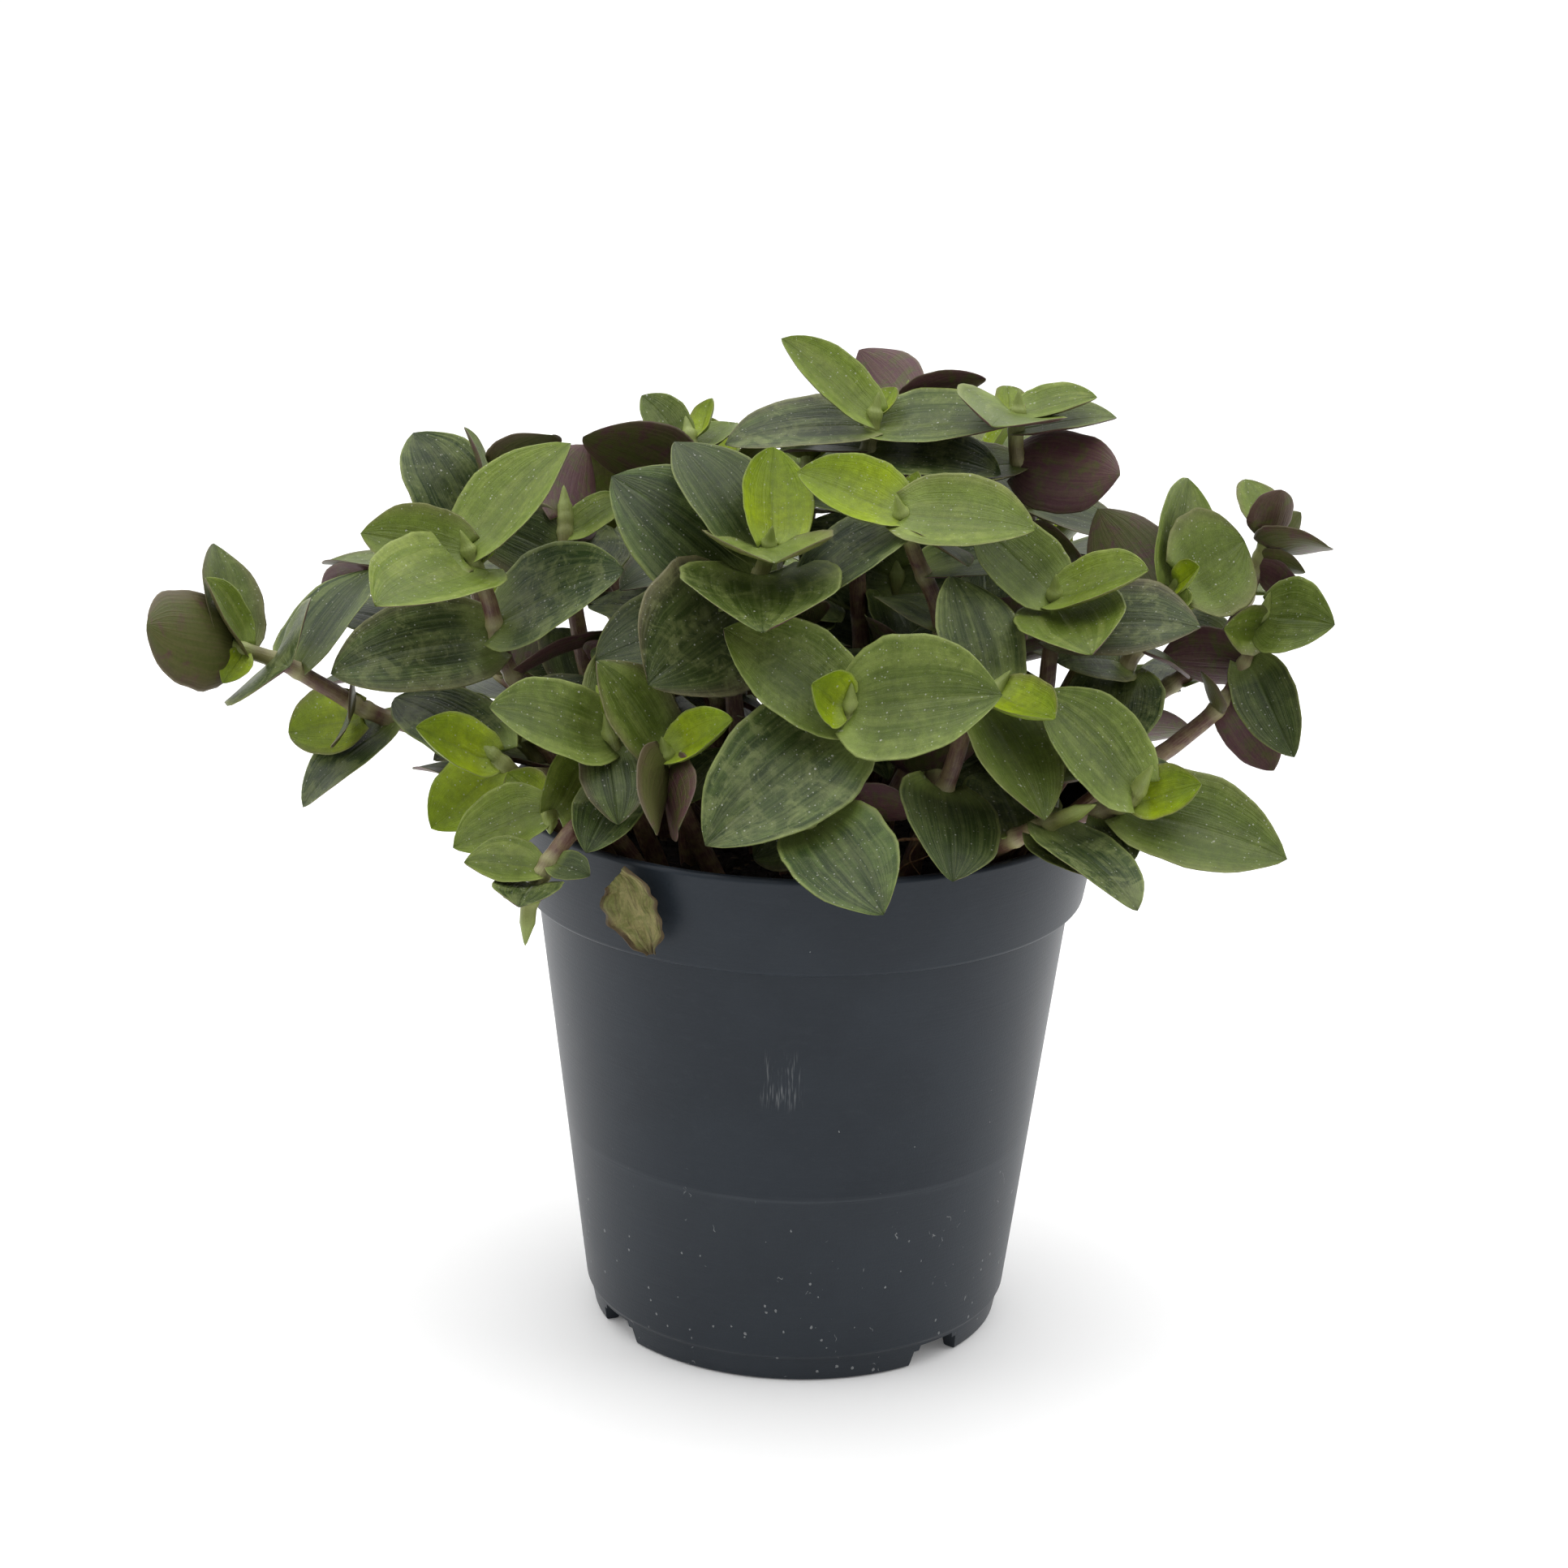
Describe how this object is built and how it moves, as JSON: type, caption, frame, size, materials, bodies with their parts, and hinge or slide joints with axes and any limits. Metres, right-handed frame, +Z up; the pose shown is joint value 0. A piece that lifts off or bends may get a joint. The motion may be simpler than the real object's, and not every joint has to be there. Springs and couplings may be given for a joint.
{
  "type": "potted plant",
  "caption": "Bushy creeping houseplant with small oval fleshy leaves, growing over the rim of a tapered round plastic nursery pot.",
  "frame": {"origin": "On the surface the pot stands on, under the centre of the plant's bounding box. The pot's axis is upright 8.5 mm to the right and 8.2 mm to the front of it.", "axes": "+X to the right of the fullest side, -Y towards the viewer of that side, +Z up along the pot's axis"},
  "size_m": [0.1704, 0.133, 0.149],
  "materials": {
    "pot_plastic": "satin dark blue-grey polypropylene",
    "soil": "moist crumbly peat",
    "foliage": "fleshy semi-matt leaf, purple underneath",
    "dead_leaf": "dry and wrinkled",
    "dry_stalk": "dry"
  },
  "bodies": {
    "root": {"dry_root_front": "dry_stalk", "dry_twig_right": "dry_stalk", "pot": "pot_plastic", "shoot_back_centre": "foliage", "shoot_back_left_top": "foliage", "shoot_back_top": "foliage", "shoot_centre": "foliage", "shoot_centre_left": "foliage", "shoot_front_left": "foliage", "shoot_front_left_inner": "foliage", "shoot_front_low": "foliage", "shoot_front_middle": "foliage", "shoot_front_right": "foliage", "shoot_front_right_inner": "foliage", "shoot_front_right_low": "foliage", "shoot_inner_1": "foliage", "shoot_inner_10": "foliage", "shoot_inner_11": "foliage", "shoot_inner_12": "foliage", "shoot_inner_13": "foliage", "shoot_inner_2": "foliage", "shoot_inner_3": "foliage", "shoot_inner_4": "foliage", "shoot_inner_5": "foliage", "shoot_inner_6": "foliage", "shoot_inner_7": "foliage", "shoot_inner_8": "foliage", "shoot_inner_9": "foliage", "shoot_inner_back": "foliage", "shoot_left_back": "foliage", "shoot_left_behind": "foliage", "shoot_left_edge": "foliage", "shoot_left_edge_low": "foliage", "shoot_left_inner": "foliage", "shoot_left_low": "foliage", "shoot_left_trailing": "foliage", "shoot_left_upright": "foliage", "shoot_rear_1": "foliage", "shoot_rear_10": "foliage", "shoot_rear_11": "foliage", "shoot_rear_12": "foliage", "shoot_rear_13": "foliage", "shoot_rear_2": "foliage", "shoot_rear_3": "foliage", "shoot_rear_4": "foliage", "shoot_rear_5": "foliage", "shoot_rear_6": "foliage", "shoot_rear_7": "foliage", "shoot_rear_8": "foliage", "shoot_rear_9": "foliage", "shoot_right_far": "foliage", "shoot_right_leaning": "foliage", "shoot_right_tall": "foliage", "shoot_right_trailing": "foliage", "shoot_right_upright": "foliage", "soil": "soil", "withered_leaf": "dead_leaf"}
  },
  "joints": []
}
